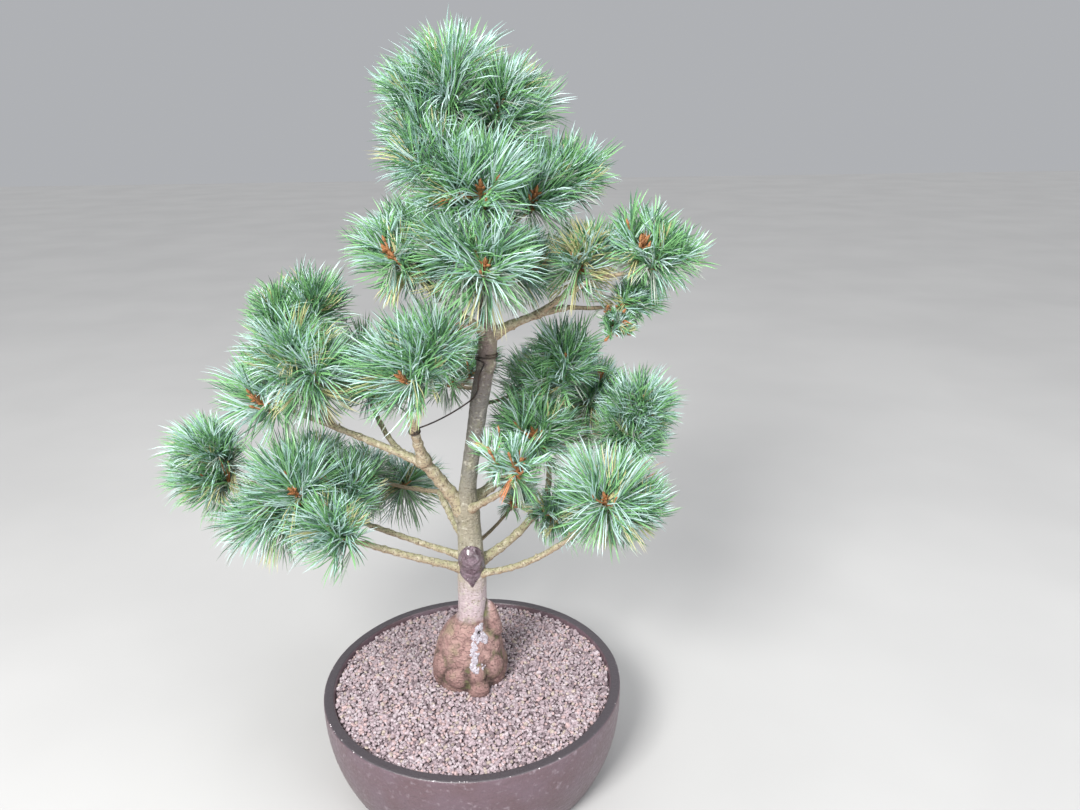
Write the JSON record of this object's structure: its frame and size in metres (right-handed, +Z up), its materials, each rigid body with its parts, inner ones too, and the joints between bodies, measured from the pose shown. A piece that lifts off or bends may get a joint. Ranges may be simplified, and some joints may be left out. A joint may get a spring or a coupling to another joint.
{
  "type": "japanese white pine bonsai",
  "caption": "Japanese white pine bonsai with a swollen graft at its foot, a forked trunk and tufted foliage pads, in a round stoneware pot topped with crushed stone.",
  "frame": {"origin": "centre of the pot's flat underside, where it stands", "axes": "+Z up along the pot's axis; -Y is the tree's front, +X to the viewer's right"},
  "size_m": [0.5345, 0.3481, 0.7119],
  "materials": {
    "stoneware": "unglazed dark purple-brown stoneware, matte",
    "crushed_stone": "angular pinkish-grey crushed stone, rough",
    "bark": "thin grey-brown bark, rough",
    "needles": "blue-green pine needles, satin"
  },
  "bodies": {
    "root": {"bough_front": "bark", "bough_high_left": "bark", "bough_high_right": "bark", "bough_high_right_up": "bark", "bough_left": "bark", "bough_left_long": "bark", "bough_left_rear": "bark", "bough_left_up": "bark", "bough_low_far_left": "bark", "bough_low_left": "bark", "bough_low_right": "bark", "bough_rear": "bark", "bough_rear_high": "bark", "bough_rear_low": "bark", "bough_right": "bark", "bough_right_rear": "bark", "bough_right_up": "bark", "foliage_apex_left": "needles", "foliage_apex_rear": "needles", "foliage_apex_right": "needles", "foliage_crown_front": "needles", "foliage_crown_left": "needles", "foliage_crown_rear": "needles", "foliage_crown_right": "needles", "foliage_front": "needles", "foliage_high_front": "needles", "foliage_high_left": "needles", "foliage_high_left_tip": "needles", "foliage_high_rear": "needles", "foliage_high_rear_left": "needles", "foliage_high_right": "needles", "foliage_high_right_low": "needles", "foliage_high_right_tip": "needles", "foliage_left_front": "needles", "foliage_left_outer": "needles", "foliage_left_rear": "needles", "foliage_left_tip": "needles", "foliage_left_top": "needles", "foliage_low_far_front": "needles", "foliage_low_far_rear": "needles", "foliage_low_far_tip": "needles", "foliage_low_far_top": "needles", "foliage_low_inner": "needles", "foliage_low_left": "needles", "foliage_low_right": "needles", "foliage_low_right_inner": "needles", "foliage_rear_left": "needles", "foliage_rear_low_left": "needles", "foliage_rear_low_right": "needles", "foliage_rear_right": "needles", "foliage_right_inner": "needles", "foliage_right_outer": "needles", "foliage_right_rear": "needles", "foliage_right_top": "needles", "pot": "stoneware", "soil": "crushed_stone", "trunk": "bark"}
  },
  "joints": []
}
